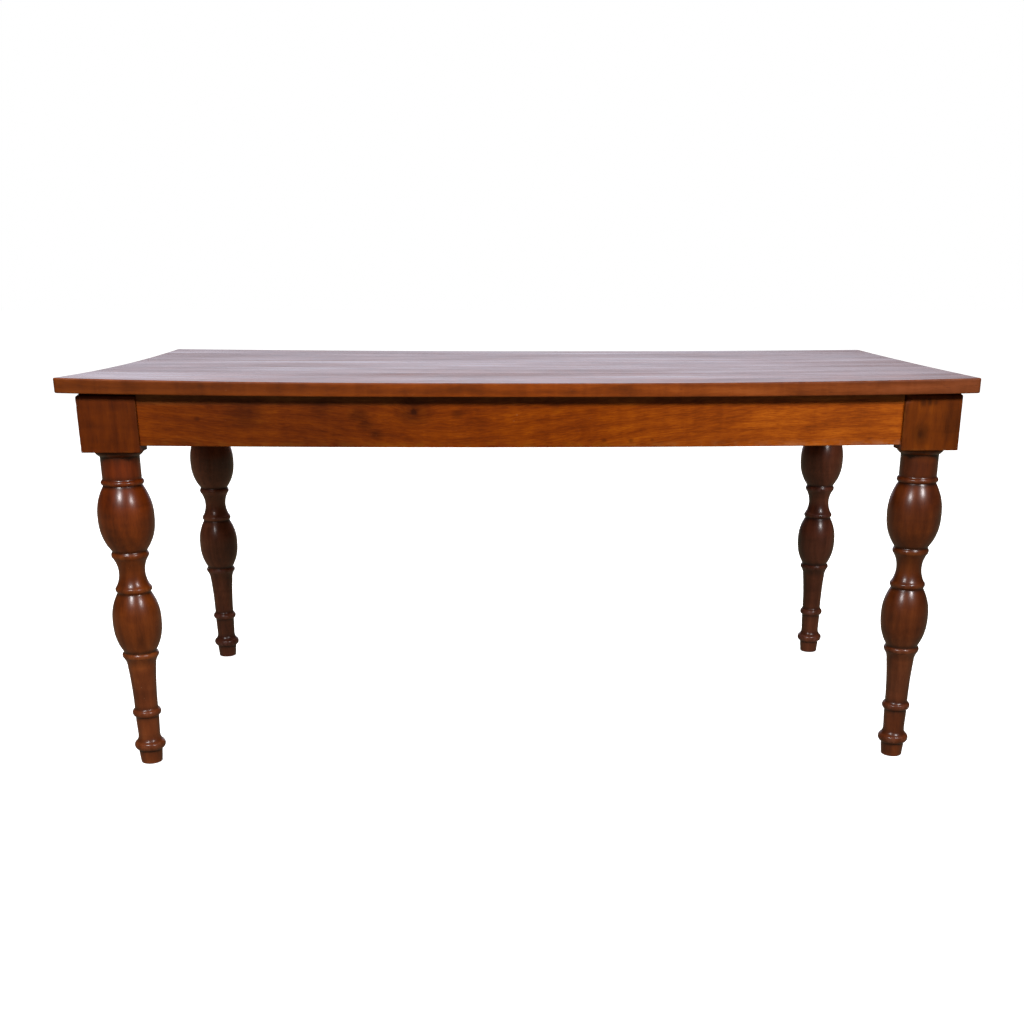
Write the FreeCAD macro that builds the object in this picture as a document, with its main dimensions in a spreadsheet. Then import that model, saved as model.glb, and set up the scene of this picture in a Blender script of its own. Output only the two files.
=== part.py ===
import FreeCAD, Part
import os
import re
import Sketcher

# Farmhouse table: a top of five boards on four turned legs, joined by tenoned aprons.
# Millimetres. The origin is on the floor under the middle of the top, +Z is up,
# the front is the -Y side and +X is to the right.

driving = {
    # Top
    "tableLength": 1700,
    "tableWidth": 914,
    "tableHeight": 762,
    "topThickness": 24,
    "topCornerRadius": 7,
    "topEdgeRound": 2.5,
    "endOverhang": 32,
    "sideOverhang": 22,
    "tongueThickness": 8,
    "tongueWidth": 24,
    "tongueStop": 25,
    # Leg block
    "blockSide": 108,
    "blockHeight": 107,
    "blockChamfer": 6.5,
    # Leg turning
    "neckDiameter": 72.2,
    "neckRingDiameter": 79.2,
    "upperBulbDiameter": 104.6,
    "collarDiameter": 69.8,
    "waistDiameter": 49.4,
    "lowerBulbDiameter": 92.6,
    "lowerRingDiameter": 55.4,
    "shaftDiameter": 45,
    "ankleRingDiameter": 60.4,
    "footDiameter": 45.6,
    # Aprons and their tenons
    "apronThickness": 25,
    "apronInset": 6,
    "apronRise": 13.5,
    "apronEdgeRound": 1.5,
    "tenonThickness": 12,
    "tenonLength": 45,
    "tenonShoulder": 12,
    "glueGap": 1,
    "fitClearance": 0.2,
    # Rails across the frame
    "railWidth": 45,
    "railHeight": 30,
    "railStub": 10,
    "railCounterbore": 8,
    # Corner braces
    "braceThickness": 28,
    "braceScrewSeat": 5,
    "notchClearance": 4,
    # Buttons that hold the top down
    "buttonLength": 38,
    "buttonWidth": 28,
    "buttonThickness": 20,
    "buttonTongue": 8,
    "buttonReach": 9,
    "buttonGap": 2,
    # Fasteners
    "screwDiameter": 4.5,
    "screwHeadDiameter": 8.5,
    "screwHeadHeight": 2.6,
    "screwPoint": 5,
    "headRoom": 1.5,
    "coachDiameter": 8,
    "coachHeadAcross": 13,
    "coachHeadHeight": 5.5,
    "coachLength": 66,
    "washerDiameter": 22,
    "washerThickness": 1.6,
    "holeClearance": 0.3,
    "overrun": 5,
}

# Widths of the top's boards, front to back, as shares of the table's width
board_shares = [0.25, 0.18, 0.19, 0.247, 0.133]

# Places along the frame, as shares of the span between the leg blocks
rail_shares = [-0.31, 0, 0.31]
long_button_shares = [-0.4, -0.155, 0.155, 0.4]

# How deep a screw bites, as shares of the thickness of what it enters
top_bite_share = 0.66
apron_bite_share = 0.7

# Corner braces: the leg's flat as a share of the block, the height as a share of the apron,
# and the screws' heights and reach as shares of the brace
brace_seat_share = 0.33
brace_height_share = 0.62
brace_screw_shares = [0.27, 0.73]
brace_reach_share = 0.5

# A screw's point narrows to this share of its diameter
point_share = 0.3

# Turned outline from the floor up. A step is the point where it ends, and an arc has first
# the point that it bends through. A point is the diameter that it follows, its distance
# from the leg's axis as a share of that diameter, and its height as a share of the turning.
leg_outline_shares = [
    [("footDiameter", 0.424, 0)],
    [("footDiameter", 0.447, 0.0012), ("footDiameter", 0.457, 0.0045)],
    [("footDiameter", 0.5, 0.036)],
    [("footDiameter", 0.5, 0.044)],
    [("ankleRingDiameter", 0.5, 0.0585), ("ankleRingDiameter", 0.468, 0.0705)],
    [("ankleRingDiameter", 0.458, 0.0712)],
    [("ankleRingDiameter", 0.405, 0.0765), ("shaftDiameter", 0.48, 0.0885)],
    [("shaftDiameter", 0.472, 0.096)],
    [("shaftDiameter", 0.5, 0.146)],
    [("shaftDiameter", 0.502, 0.157)],
    [("lowerRingDiameter", 0.5, 0.1685), ("lowerRingDiameter", 0.474, 0.1785)],
    [("lowerRingDiameter", 0.463, 0.1792)],
    [("lowerRingDiameter", 0.425, 0.1832), ("shaftDiameter", 0.502, 0.1925)],
    [("shaftDiameter", 0.502, 0.2)],
    [("shaftDiameter", 0.54, 0.269), ("shaftDiameter", 0.605, 0.325)],
    [("collarDiameter", 0.402, 0.336), ("collarDiameter", 0.452, 0.3505)],
    [("collarDiameter", 0.457, 0.3525)],
    [("collarDiameter", 0.5, 0.3625), ("collarDiameter", 0.453, 0.3725)],
    [("collarDiameter", 0.453, 0.376)],
    [("lowerBulbDiameter", 0.447, 0.413), ("lowerBulbDiameter", 0.5, 0.474)],
    [("lowerBulbDiameter", 0.466, 0.52), ("collarDiameter", 0.465, 0.5595)],
    [("collarDiameter", 0.453, 0.5625)],
    [("collarDiameter", 0.456, 0.5645)],
    [("collarDiameter", 0.494, 0.5735), ("collarDiameter", 0.458, 0.5825)],
    [("waistDiameter", 0.5, 0.6265), ("collarDiameter", 0.464, 0.6705)],
    [("collarDiameter", 0.505, 0.681), ("collarDiameter", 0.472, 0.6905)],
    [("collarDiameter", 0.468, 0.6935)],
    [("upperBulbDiameter", 0.443, 0.7315), ("upperBulbDiameter", 0.5, 0.7985)],
    [("upperBulbDiameter", 0.466, 0.8475), ("neckDiameter", 0.507, 0.8915)],
    [("neckDiameter", 0.496, 0.8945)],
    [("neckRingDiameter", 0.5, 0.9025), ("neckRingDiameter", 0.478, 0.9095)],
    [("neckRingDiameter", 0.468, 0.9101)],
    [("neckRingDiameter", 0.4595, 0.9122), ("neckDiameter", 0.5, 0.9175)],
    [("neckDiameter", 0.5, 0.9805)],
    [("blockSide", 0.368, 0.9845), ("blockSide", 0.405, 0.9915)],
    [("blockSide", 0.405, 1)],
]

doc = FreeCAD.newDocument("farmhouse_table")
sheet = doc.addObject("Spreadsheet::Sheet", "Sizes")
for row, (name, size) in enumerate(driving.items(), start=1):
    sheet.set(f"A{row}", name)
    sheet.set(f"B{row}", str(size))
    sheet.setAlias(f"B{row}", name)
doc.recompute()

# Places worked out from the driving dimensions, as sums that the features are bound to
half_block = "(blockSide / 2)"
underside = "(tableHeight - topThickness)"
block_bottom = f"({underside} - blockHeight)"
leg_x = f"(tableLength / 2 - endOverhang - {half_block})"
leg_y = f"(tableWidth / 2 - sideOverhang - {half_block})"
long_span = f"(2 * {leg_x} - blockSide)"
end_span = f"(2 * {leg_y} - blockSide)"
apron_x = f"({leg_x} + {half_block} - apronInset)"
apron_y = f"({leg_y} + {half_block} - apronInset)"
apron_bottom = f"({block_bottom} + apronRise)"
apron_height = "(blockHeight - apronRise)"
tenon_near = "((apronThickness - tenonThickness) / 2)"
tenon_far = "((apronThickness + tenonThickness) / 2)"
tenon_low = f"({apron_bottom} + tenonShoulder)"
tenon_high = f"({underside} - tenonShoulder)"
inner_y = f"({apron_y} - apronThickness)"
rail_bottom = f"({underside} - railHeight)"
button_bottom = f"({underside} - buttonThickness)"
button_y = "(apronThickness + buttonGap + buttonLength / 2)"
brace_top = f"({button_bottom} - notchClearance)"
brace_height = f"({brace_height_share} * {apron_height})"
brace_bottom = f"({brace_top} - {brace_height})"
brace_seat = f"({brace_seat_share} * blockSide)"
# Places in a leg's own frame, whose +X and +Y point towards the middle of the table
apron_face = f"(apronInset - {half_block})"
apron_back = f"({apron_face} + apronThickness)"
seat_corner = f"({brace_seat} * sqrt(2) - {apron_back})"
back_corner = f"({seat_corner} + braceThickness * sqrt(2))"
brace_screw = f"({seat_corner} + {brace_reach_share} * braceThickness * sqrt(2))"
brace_screw_seat = f"({apron_back} + {back_corner} - {brace_screw} - braceScrewSeat)"
brace_screw_end = f"({apron_back} - {apron_bite_share} * apronThickness)"
coach_seat = f"({brace_seat} + braceThickness)"
coach_end = f"({coach_seat} + washerThickness - coachLength)"
coach_height = f"({brace_bottom} + {brace_height} / 2)"
screw_hole = "(screwDiameter + holeClearance)"

# The legs in the order of their quarter turns, with their places as shares of half the frame
corner_shares = {
    "front_left": (-1, -1),
    "front_right": (1, -1),
    "back_right": (1, 1),
    "back_left": (-1, 1),
}
planes = {"X": "YZ_Plane", "Y": "XZ_Plane", "Z": "XY_Plane"}
parts = []


# Names of driving dimensions in a sum, written as the sheet's cells
def bound(text):
    def cell(word):
        return f"Sizes.{word.group()}" if word.group() in driving else word.group()
    return re.sub(r"[A-Za-z]\w*", cell, text)


# What a sum of driving dimensions comes to
def value(text):
    return float(sheet.evalExpression(str(text)))


def point(x, y):
    return FreeCAD.Vector(value(x), value(y), 0)


# A body that is written out as a piece of its own, unless it is only one of a group
def new_body(label, kept=True):
    body = doc.addObject("PartDesign::Body", label)
    body.Label = label
    body.AllowCompound = True
    if kept:
        parts.append(body)
    return body


def group(label, members):
    compound = doc.addObject("Part::Compound", label)
    compound.Label = label
    compound.Links = members
    parts.append(compound)


# Moves a piece to its place in the table and turns it by quarters about the vertical
def place(item, x, y, quarters):
    spin = FreeCAD.Rotation(FreeCAD.Vector(0, 0, 1), 90 * quarters)
    item.Placement = FreeCAD.Placement(point(x, y), spin)
    item.setExpression("Placement.Base.x", bound(x))
    item.setExpression("Placement.Base.y", bound(y))


def place_at_corner(item, corner):
    side, end = corner_shares[corner]
    quarters = list(corner_shares).index(corner)
    place(item, f"{side} * {leg_x}", f"{end} * {leg_y}", quarters)


# A sketch square to an axis, a given way along it
def sketch_on(body, name, axis, start):
    sketch = body.newObject("Sketcher::SketchObject", name)
    plane = [item for item in body.Origin.OriginFeatures if item.Role == planes[axis]][0]
    sketch.AttachmentSupport = [(plane, "")]
    sketch.MapMode = "FlatFace"
    way = -1 if axis == "Y" else 1
    sketch.setExpression("AttachmentOffset.Base.z", bound(f"{way} * ({start})"))
    return sketch


# A sketch square to a leg's diagonal, a given way from the leg's axis towards the table's middle
def sketch_on_diagonal(body, name, start):
    sketch = sketch_on(body, name, "Y", "0")
    spin = FreeCAD.Rotation(FreeCAD.Vector(0, 1, 0), 135)
    sketch.AttachmentOffset = FreeCAD.Placement(FreeCAD.Vector(0, 0, 0), spin)
    sketch.setExpression("AttachmentOffset.Base.x", bound(f"({start}) / sqrt(2)"))
    sketch.setExpression("AttachmentOffset.Base.z", bound(f"-({start}) / sqrt(2)"))
    return sketch


# The two constraints that hold a point of a sketch at two sums, each with its sum
def pins(geometry, vertex, x, y):
    return [(Sketcher.Constraint(kind, -1, 1, geometry, vertex, value(text)), str(text))
            for kind, text in (("DistanceX", x), ("DistanceY", y))]


# Adds constraints to a sketch, and binds those that come with a sum
def constrain(sketch, pairs):
    indexes = sketch.addConstraint([constraint for constraint, _ in pairs])
    for index, (_, text) in zip(indexes, pairs):
        if text:
            sketch.setExpression(f"Constraints[{index}]", bound(text))


# A closed outline. Each step is a list: the point that it ends at, after the point that
# it bends through where it is an arc. The last step's end is where the first step starts.
def draw_outline(sketch, steps):
    edges = []
    start = steps[-1][-1]
    for step in steps:
        first = point(*start)
        last = point(*step[-1])
        curve = Part.LineSegment(first, last)
        if len(step) == 2:
            curve = Part.Arc(first, point(*step[0]), last)
        edge = sketch.addGeometry(curve, False)
        begins = sketch.getPoint(edge, 1).distanceToPoint(first)
        ends = sketch.getPoint(edge, 2).distanceToPoint(first)
        edges.append((edge, 1, 2) if begins < ends else (edge, 2, 1))
        start = step[-1]
    pairs = []
    for index, ((edge, _, end), step) in enumerate(zip(edges, steps)):
        following, begin, _ = edges[(index + 1) % len(edges)]
        pairs.append((Sketcher.Constraint("Coincident", edge, end, following, begin), None))
        pairs += pins(edge, end, *step[-1])
        if len(step) == 2:
            bend = sketch.addGeometry(Part.Point(point(*step[0])), True)
            pairs += pins(bend, 1, *step[0])
            pairs.append((Sketcher.Constraint("PointOnObject", bend, 1, edge), None))
    constrain(sketch, pairs)


def draw_circles(sketch, centres, diameter):
    pairs = []
    for x, y in centres:
        circle = Part.Circle(point(x, y), FreeCAD.Vector(0, 0, 1), value(diameter) / 2)
        edge = sketch.addGeometry(circle, False)
        pairs.append((Sketcher.Constraint("Diameter", edge, value(diameter)), diameter))
        pairs += pins(edge, 3, x, y)
    constrain(sketch, pairs)


# Pads or pockets a sketch along the axis that it is square to, towards that axis's plus end
def extrude(body, sketch, axis, length, cut):
    kind = "PartDesign::Pocket" if cut else "PartDesign::Pad"
    feature = body.newObject(kind, sketch.Name + "_cut" if cut else sketch.Name + "_pad")
    feature.Profile = sketch
    feature.setExpression("Length", bound(length))
    feature.Reversed = cut != (axis == "Y")
    return feature


# A rectangular block, or a rectangular cut, from its low corner to its high corner
def slab(body, name, axis, low, high, cut=False):
    along = "XYZ".index(axis)
    (x0, x1), (y0, y1) = [(low[i], high[i]) for i in range(3) if i != along]
    sketch = sketch_on(body, name, axis, low[along])
    draw_outline(sketch, [[(x1, y0)], [(x1, y1)], [(x0, y1)], [(x0, y0)]])
    return extrude(body, sketch, axis, f"({high[along]}) - ({low[along]})", cut)


# Round holes or rods with their centres in the plane square to an axis
def rods(body, name, axis, start, end, centres, diameter, cut=False):
    sketch = sketch_on(body, name, axis, start)
    draw_circles(sketch, centres, diameter)
    return extrude(body, sketch, axis, f"({end}) - ({start})", cut)


# Edges of a feature that a test picks, by name
def pick_edges(feature, test):
    doc.recompute()
    found = enumerate(feature.Shape.Edges, start=1)
    return [f"Edge{number}" for number, edge in found if test(edge)]


def ease(body, kind, feature, test, size, name):
    change = body.newObject(f"PartDesign::{kind}", name)
    change.Base = (feature, pick_edges(feature, test))
    change.setExpression("Radius" if kind == "Fillet" else "Size", bound(size))
    return change


def near(first, second):
    return round(first - second, 6) == 0


# One leg: square block, turned post and foot in one piece of wood
def make_leg(label, corner):
    body = new_body(label)
    block = slab(body, "block", "Z", (f"-{half_block}", f"-{half_block}", block_bottom),
                 (half_block, half_block, underside))
    top = value(underside)
    ease(body, "Chamfer", block, lambda edge: near(edge.BoundBox.ZMin, top),
         "blockChamfer", "block_chamfer")

    turning = sketch_on(body, "turning", "Y", "0")
    steps = [
        [(f"{share} * {size}", f"{height} * {block_bottom}") for size, share, height in step]
        for step in leg_outline_shares
    ]
    steps.append([("0", block_bottom)])
    steps.append([("0", "0")])
    draw_outline(turning, steps)
    post = body.newObject("PartDesign::Revolution", "turned_post")
    post.Profile = turning
    post.ReferenceAxis = (turning, ["V_Axis"])
    post.Angle = 360

    # A mortise in each of the two faces that the aprons meet
    near_cheek = f"{apron_face} + {tenon_near} - fitClearance"
    far_cheek = f"{apron_face} + {tenon_far} + fitClearance"
    bottom = f"{half_block} - tenonLength - glueGap"
    mouth = f"{half_block} + overrun"
    low = f"{tenon_low} - fitClearance"
    high = f"{tenon_high} + fitClearance"
    slab(body, "mortise_x", "X", (bottom, near_cheek, low), (mouth, far_cheek, high), cut=True)
    slab(body, "mortise_y", "Y", (near_cheek, bottom, low), (far_cheek, mouth, high), cut=True)

    # The block's inner corner is cut flat for the brace, and drilled for its coach screw
    flat = sketch_on(body, "notch", "Z", block_bottom)
    reach = f"{half_block} + overrun"
    cut_end = f"{brace_seat} * sqrt(2) - {half_block} - overrun"
    draw_outline(flat, [[(reach, cut_end)], [(reach, reach)], [(cut_end, reach)]])
    extrude(body, flat, "Z", "blockHeight + overrun", True)
    pilot = sketch_on_diagonal(body, "pilot", f"{coach_end} - headRoom")
    draw_circles(pilot, [("0", coach_height)], "coachDiameter + holeClearance")
    extrude(body, pilot, "X", f"{brace_seat} - {coach_end} + headRoom + overrun", True)
    place_at_corner(body, corner)


# One apron with its tenons, in its own frame: the outer face at y 0, the inner side to +Y
def make_apron(label, span, x, y, quarters, rails):
    body = new_body(label)
    half = f"{span} / 2"
    board = slab(body, "board", "X", (f"-{half}", "0", apron_bottom),
                 (half, "apronThickness", underside))
    low_z = value(apron_bottom)
    back = value("apronThickness")
    ease(body, "Fillet", board,
         lambda edge: near(edge.BoundBox.ZMax, low_z) and edge.BoundBox.XLength > back,
         "apronEdgeRound", "edge_round")
    slab(body, "tenons", "X", (f"-{half} - tenonLength", tenon_near, tenon_low),
         (f"{half} + tenonLength", tenon_far, tenon_high))
    slab(body, "button_groove", "X",
         (f"-{half}", "apronThickness - buttonReach - fitClearance",
          f"{button_bottom} - fitClearance"),
         (half, "apronThickness + overrun", f"{button_bottom} + buttonTongue + fitClearance"),
         cut=True)
    for number, share in enumerate(rails):
        middle = f"{share} * {span}"
        slab(body, f"rail_seat_{number}", "Z",
             (f"{middle} - railWidth / 2 - fitClearance", "apronThickness - railStub - fitClearance",
              f"{rail_bottom} - fitClearance"),
             (f"{middle} + railWidth / 2 + fitClearance", "apronThickness + overrun",
              f"{underside} + overrun"), cut=True)
    reach = f"{half} + {half_block} - {brace_screw}"
    pilots = [(f"{side} * ({reach})", f"{brace_bottom} + {share} * {brace_height}")
              for side in (-1, 1) for share in brace_screw_shares]
    rods(body, "brace_pilots", "Y",
         f"apronThickness * (1 - {apron_bite_share}) - headRoom", "apronThickness + overrun",
         pilots, screw_hole, cut=True)
    place(body, x, y, quarters)


# Where each board starts and ends across the table
def board_sides(number):
    low = round(sum(board_shares[:number]) - 0.5, 6)
    high = round(sum(board_shares[:number + 1]) - 0.5, 6)
    return f"({low} * tableWidth)", f"({high} * tableWidth)"


# Rail screws go up into the middle of each board, clear of the aprons
def rail_screw_y(number):
    low, high = board_sides(number)
    if number == 0:
        low = f"(-{inner_y})"
    if number == len(board_shares) - 1:
        high = inner_y
    return f"({low} + {high}) / 2"


rail_screws = [(f"{share} * {long_span}", rail_screw_y(number))
               for share in rail_shares for number in range(len(board_shares))]
# Buttons along an end apron sit under the middle of every second board
end_buttons = ["({} + {}) / 2".format(*board_sides(number))
               for number in range(1, len(board_shares), 2)]
long_buttons = [f"{share} * {long_span}" for share in long_button_shares]
button_screws = [(along, f"{button_y} - {apron_y}") for along in long_buttons]
button_screws += [(along, f"{apron_y} - {button_y}") for along in long_buttons]
button_screws += [(f"{button_y} - {apron_x}", along) for along in end_buttons]
button_screws += [(f"{apron_x} - {button_y}", along) for along in end_buttons]

# The aprons in the order of their quarter turns: span, place, rails let in, and the places
# of the buttons along the apron's own X
aprons = {
    "front": (long_span, "0", f"-{apron_y}", rail_shares, long_buttons),
    "right": (end_span, apron_x, "0", [], end_buttons),
    "back": (long_span, "0", apron_y, rail_shares, [f"-({along})" for along in long_buttons]),
    "left": (end_span, f"-{apron_x}", "0", [], [f"-({along})" for along in end_buttons]),
}


# One board of the top, with grooves for the loose tongues and pilot holes for the screws below
def make_board(number):
    body = new_body(f"top_board_{number + 1}")
    low, high = board_sides(number)
    end = "tableLength / 2"
    board = slab(body, "board", "X", (f"-{end}", low, underside), (end, high, "tableHeight"))
    outer = value("tableWidth / 2")
    edge_x = value(end)
    bottom = value(underside)
    top = value("tableHeight")

    def at_corner(edge):
        box = edge.BoundBox
        upright = near(box.XLength, 0) and near(box.YLength, 0)
        return upright and near(abs(box.Center.y), outer)

    def at_rim(edge):
        box = edge.BoundBox
        level = near(box.ZMin, box.ZMax) and (near(box.ZMin, top) or near(box.ZMin, bottom))
        at_end = near(abs(box.Center.x), edge_x)
        at_side = near(abs(box.Center.y), outer)
        return level and (at_end or at_side or edge.Curve.TypeId == "Part::GeomCircle")

    feature = board
    if pick_edges(board, at_corner):
        feature = ease(body, "Fillet", board, at_corner, "topCornerRadius", "corner_round")
    ease(body, "Fillet", feature, at_rim, "topEdgeRound", "rim_round")

    middle = f"{underside} + topThickness / 2"
    groove_low = f"{middle} - tongueThickness / 2 - fitClearance"
    groove_high = f"{middle} + tongueThickness / 2 + fitClearance"
    groove_end = "tableLength / 2 - tongueStop + glueGap"
    depth = "(tongueWidth / 2 + fitClearance)"
    if number > 0:
        slab(body, "groove_front", "Y", (f"-({groove_end})", f"{low} - overrun", groove_low),
             (groove_end, f"{low} + {depth}", groove_high), cut=True)
    if number < len(board_shares) - 1:
        slab(body, "groove_back", "Y", (f"-({groove_end})", f"{high} - {depth}", groove_low),
             (groove_end, f"{high} + overrun", groove_high), cut=True)

    screws = [spot for spot in rail_screws + button_screws
              if value(low) < value(spot[1]) < value(high)]
    rods(body, "pilots", "Z", f"{underside} - overrun",
         f"{underside} + {top_bite_share} * topThickness + headRoom", screws, screw_hole, cut=True)


def make_tongue(number):
    body = new_body(f"loose_tongue_{number + 1}")
    seam = board_sides(number)[1]
    end = "(tableLength / 2 - tongueStop)"
    middle = f"{underside} + topThickness / 2"
    slab(body, "tongue", "X",
         (f"-{end}", f"{seam} - tongueWidth / 2", f"{middle} - tongueThickness / 2"),
         (end, f"{seam} + tongueWidth / 2", f"{middle} + tongueThickness / 2"))


# One rail from front apron to back apron, screwed up into every board
def make_rail(number, share):
    body = new_body(f"cross_rail_{number + 1}")
    middle = f"{share} * {long_span}"
    end = f"({inner_y} + railStub)"
    slab(body, "rail", "Y", (f"{middle} - railWidth / 2", f"-{end}", rail_bottom),
         (f"{middle} + railWidth / 2", end, underside))
    spots = [spot for spot in rail_screws if spot[0] == middle]
    rods(body, "screw_holes", "Z", f"{rail_bottom} - overrun", f"{underside} + overrun",
         spots, screw_hole, cut=True)
    rods(body, "counterbores", "Z", f"{rail_bottom} - overrun",
         f"{rail_bottom} + railCounterbore", spots, "screwHeadDiameter + headRoom", cut=True)


# One brace across a corner, in the leg's frame, with its ends cut to lie on the aprons
def make_brace(label, corner):
    body = new_body(label)
    plan = sketch_on(body, "plan", "Z", brace_bottom)
    draw_outline(plan, [
        [(seat_corner, apron_back)],
        [(back_corner, apron_back)],
        [(apron_back, back_corner)],
        [(apron_back, seat_corner)],
    ])
    extrude(body, plan, "Z", brace_height, False)
    levels = [f"{brace_bottom} + {share} * {brace_height}" for share in brace_screw_shares]
    for axis in ("X", "Y"):
        spots = [(brace_screw, level) for level in levels]
        far = f"{apron_back} + {back_corner}"
        rods(body, f"screw_holes_{axis.lower()}", axis, f"{apron_back} - overrun", far,
             spots, screw_hole, cut=True)
        rods(body, f"screw_seats_{axis.lower()}", axis, brace_screw_seat, far,
             spots, "screwHeadDiameter + headRoom", cut=True)
    bore = sketch_on_diagonal(body, "coach_bore", f"{brace_seat} - overrun")
    draw_circles(bore, [("0", coach_height)], "coachDiameter + holeClearance")
    extrude(body, bore, "X", "braceThickness + 2 * overrun", True)
    place_at_corner(body, corner)


# The buttons of one apron, in the apron's own frame: a tongue in the groove, a body under the top
def make_buttons(label, x, y, quarters, places):
    body = new_body(label)
    front = "apronThickness + buttonGap"
    for number, middle in enumerate(places):
        slab(body, f"button_{number}", "Z", (f"{middle} - buttonWidth / 2", front, button_bottom),
             (f"{middle} + buttonWidth / 2", f"{front} + buttonLength", underside))
        slab(body, f"button_tongue_{number}", "Z",
             (f"{middle} - buttonWidth / 2", "apronThickness - buttonReach", button_bottom),
             (f"{middle} + buttonWidth / 2", front, f"{button_bottom} + buttonTongue"))
    spots = [(middle, button_y) for middle in places]
    rods(body, "screw_holes", "Z", f"{button_bottom} - overrun", f"{underside} + overrun",
         spots, screw_hole, cut=True)
    place(body, x, y, quarters)


# Screws that stand upright, heads down, with their points up in the boards
def make_upright_screws(label, seat, spots):
    body = new_body(label)
    tip = f"{underside} + {top_bite_share} * topThickness"
    rods(body, "shanks", "Z", seat, f"{tip} - screwPoint", spots, "screwDiameter")
    rods(body, "heads", "Z", f"{seat} - screwHeadHeight", seat, spots, "screwHeadDiameter")
    points = rods(body, "points", "Z", f"{tip} - screwPoint", tip, spots, "screwDiameter")
    points.setExpression(
        "TaperAngle", bound(f"-atan(screwDiameter * (1 - {point_share}) / 2 / screwPoint)"))


# The four screws of one brace, two into each apron, in the leg's frame
def make_brace_screws(corner):
    body = new_body(f"brace_screws_{corner}", kept=False)
    levels = [f"{brace_bottom} + {share} * {brace_height}" for share in brace_screw_shares]
    spots = [(brace_screw, level) for level in levels]
    for axis in ("X", "Y"):
        low = axis.lower()
        rods(body, f"shanks_{low}", axis, brace_screw_end, brace_screw_seat, spots, "screwDiameter")
        rods(body, f"heads_{low}", axis, brace_screw_seat,
             f"{brace_screw_seat} + screwHeadHeight", spots, "screwHeadDiameter")
    place_at_corner(body, corner)
    return body


# A hexagon about a point of a sketch, flat side to flat side
def draw_hexagon(sketch, x, y, across):
    turns = [60 * number + 30 for number in range(6)]
    draw_outline(sketch, [
        [(f"{x} + ({across}) / sqrt(3) * cos({turn})", f"{y} + ({across}) / sqrt(3) * sin({turn})")]
        for turn in turns
    ])


def make_coach_screw(corner):
    body = new_body(f"coach_screw_{corner}", kept=False)
    shank = sketch_on_diagonal(body, "shank", coach_end)
    draw_circles(shank, [("0", coach_height)], "coachDiameter")
    extrude(body, shank, "X", "coachLength", False)
    head = sketch_on_diagonal(body, "head", f"{coach_seat} + washerThickness")
    draw_hexagon(head, "0", coach_height, "coachHeadAcross")
    extrude(body, head, "X", "coachHeadHeight", False)
    place_at_corner(body, corner)
    return body


def make_washer(corner):
    body = new_body(f"washer_{corner}", kept=False)
    ring = sketch_on_diagonal(body, "ring", coach_seat)
    draw_circles(ring, [("0", coach_height)], "washerDiameter")
    draw_circles(ring, [("0", coach_height)], "coachDiameter + holeClearance")
    extrude(body, ring, "X", "washerThickness", False)
    place_at_corner(body, corner)
    return body


for corner in corner_shares:
    make_leg(f"leg_{corner}", corner)
for quarters, (side, (span, x, y, rails, buttons)) in enumerate(aprons.items()):
    make_apron(f"apron_{side}", span, x, y, quarters, rails)
    make_buttons(f"buttons_{side}", x, y, quarters, buttons)
for number in range(len(board_shares)):
    make_board(number)
for number in range(len(board_shares) - 1):
    make_tongue(number)
for number, share in enumerate(rail_shares):
    make_rail(number, share)
for corner in corner_shares:
    make_brace(f"corner_brace_{corner}", corner)
make_upright_screws("rail_screws", f"{rail_bottom} + railCounterbore", rail_screws)
make_upright_screws("button_screws", button_bottom, button_screws)
group("brace_screws", [make_brace_screws(corner) for corner in corner_shares])
group("coach_screws", [make_coach_screw(corner) for corner in corner_shares])
group("washers", [make_washer(corner) for corner in corner_shares])
doc.recompute()

for item in doc.Objects:
    if "Invalid" in item.State or "Error" in item.State:
        raise RuntimeError(f"{item.Label} did not compute: {item.State}")
    if item.TypeId == "PartDesign::Pocket" and item.BaseFeature:
        if item.Shape.Volume >= item.BaseFeature.Shape.Volume:
            raise RuntimeError(f"{item.Label} of {item.getParentGeoFeatureGroup().Label} cuts nothing")
for part in parts:
    if part.Shape.isNull() or not part.Shape.isValid():
        raise RuntimeError(f"{part.Label} has no valid shape")

os.makedirs("parts", exist_ok=True)
for part in parts:
    part.Shape.exportStep(f"parts/{part.Label}.step")
    box = part.Shape.BoundBox
    print(f"{part.Label}: {len(part.Shape.Solids)} solids, {part.Shape.Volume / 1000:.1f} cm3, "
          f"z {box.ZMin:.1f} to {box.ZMax:.1f}")
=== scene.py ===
import math

import bmesh
import bpy
import numpy as np
from mathutils import Euler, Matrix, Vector, noise


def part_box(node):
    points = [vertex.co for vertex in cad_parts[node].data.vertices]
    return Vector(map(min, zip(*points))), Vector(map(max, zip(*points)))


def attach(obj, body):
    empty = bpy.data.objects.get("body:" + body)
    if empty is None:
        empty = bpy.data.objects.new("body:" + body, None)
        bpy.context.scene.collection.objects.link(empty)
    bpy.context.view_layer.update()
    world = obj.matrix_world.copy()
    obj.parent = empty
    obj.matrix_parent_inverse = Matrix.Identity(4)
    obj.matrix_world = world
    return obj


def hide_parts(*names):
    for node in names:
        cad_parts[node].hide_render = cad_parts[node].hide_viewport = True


# Farmhouse table: turned legs, tenoned aprons and a top of five boards, in stained and lacquered
# hardwood. Metres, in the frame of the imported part: the front is the -Y side.

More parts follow.
